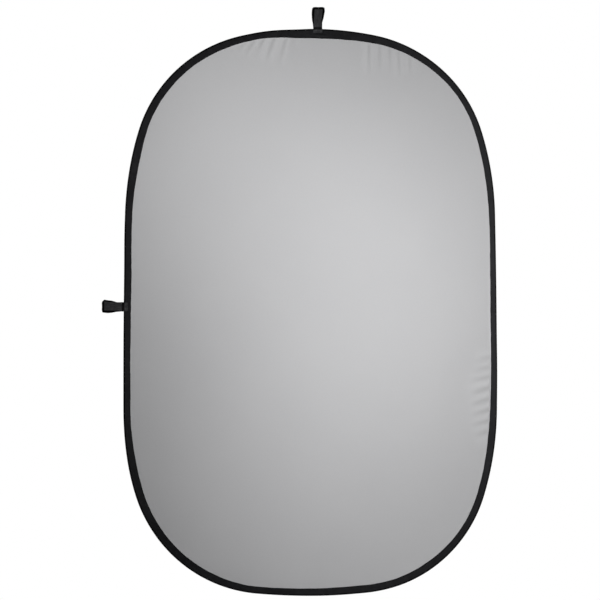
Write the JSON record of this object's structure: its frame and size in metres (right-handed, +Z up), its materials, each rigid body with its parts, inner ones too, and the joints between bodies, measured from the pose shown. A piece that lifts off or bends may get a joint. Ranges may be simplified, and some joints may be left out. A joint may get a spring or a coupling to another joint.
{
  "type": "collapsible reflector panel",
  "caption": "Tall rounded oblong cloth panel, grey in front and white behind, held flat by a sprung steel strip in a black binding, with a webbing loop at the top and one at the left.",
  "frame": {"origin": "the seat inside the top hanging loop, where a hook or bar bears", "axes": "+Z up, along the panel's height; -Y out of the grey front face; +X to the right seen from the front"},
  "size_m": [1.2558, 0.015, 1.8707],
  "materials": {
    "spring_steel": "rolled spring steel, dull",
    "crimp_metal": "crimped sheet sleeve",
    "binding_tape": "black woven binding tape, slight sheen",
    "grey_cloth": "matte neutral grey plain weave",
    "white_cloth": "matte white plain weave",
    "thread": "black sewing thread",
    "webbing": "black flat webbing"
  },
  "bodies": {
    "top_loop": {"top_hanging_loop": "webbing"},
    "upper": {"spring_strip_upper": "spring_steel", "binding_upper": "binding_tape", "front_cloth_upper": "grey_cloth", "back_cloth_upper": "white_cloth", "front_seam_upper": "thread", "back_seam_upper": "thread", "top_loop_tail": "webbing", "top_loop_front_tack": "thread", "top_loop_back_tack": "thread"},
    "middle": {"spring_strip_left": "spring_steel", "spring_strip_right": "spring_steel", "binding_left": "binding_tape", "binding_right": "binding_tape", "front_cloth_middle": "grey_cloth", "back_cloth_middle": "white_cloth", "front_seam_left": "thread", "front_seam_right": "thread", "back_seam_left": "thread", "back_seam_right": "thread", "side_loop_tail": "webbing", "side_loop_front_tack": "thread", "side_loop_back_tack": "thread"},
    "lower": {"spring_strip_lower_left": "spring_steel", "spring_strip_lower_right": "spring_steel", "splice_sleeve": "crimp_metal", "binding_lower": "binding_tape", "front_cloth_lower": "grey_cloth", "back_cloth_lower": "white_cloth", "front_seam_lower": "thread", "back_seam_lower": "thread"},
    "side_loop": {"side_hanging_loop": "webbing"}
  },
  "joints": [
    {"name": "top_loop_swing", "type": "hinge", "parent": "top_loop", "child": "upper", "pos_m": [0, 0, -0.0633], "axis": [1, 0, 0], "range_deg": [-75, 75]},
    {"name": "upper_bend", "type": "hinge", "parent": "upper", "child": "middle", "pos_m": [-0.025, -0.004, -0.8192], "axis": [-1, 0, 0], "range_deg": [0, 100], "stiffness_Nm_per_rad": 1.3},
    {"name": "lower_bend", "type": "hinge", "parent": "middle", "child": "lower", "pos_m": [-0.025, -0.004, -1.1192], "axis": [-1, 0, 0], "range_deg": [0, 100], "stiffness_Nm_per_rad": 1.3},
    {"name": "side_loop_swing", "type": "hinge", "parent": "middle", "child": "side_loop", "pos_m": [-0.62299, 0, -0.9512], "axis": [0, 0, 1], "range_deg": [-75, 75], "stiffness_Nm_per_rad": 0.03}
  ],
  "couplings": [
    {"joint": "lower_bend", "follows": "upper_bend", "ratio": 1}
  ]
}
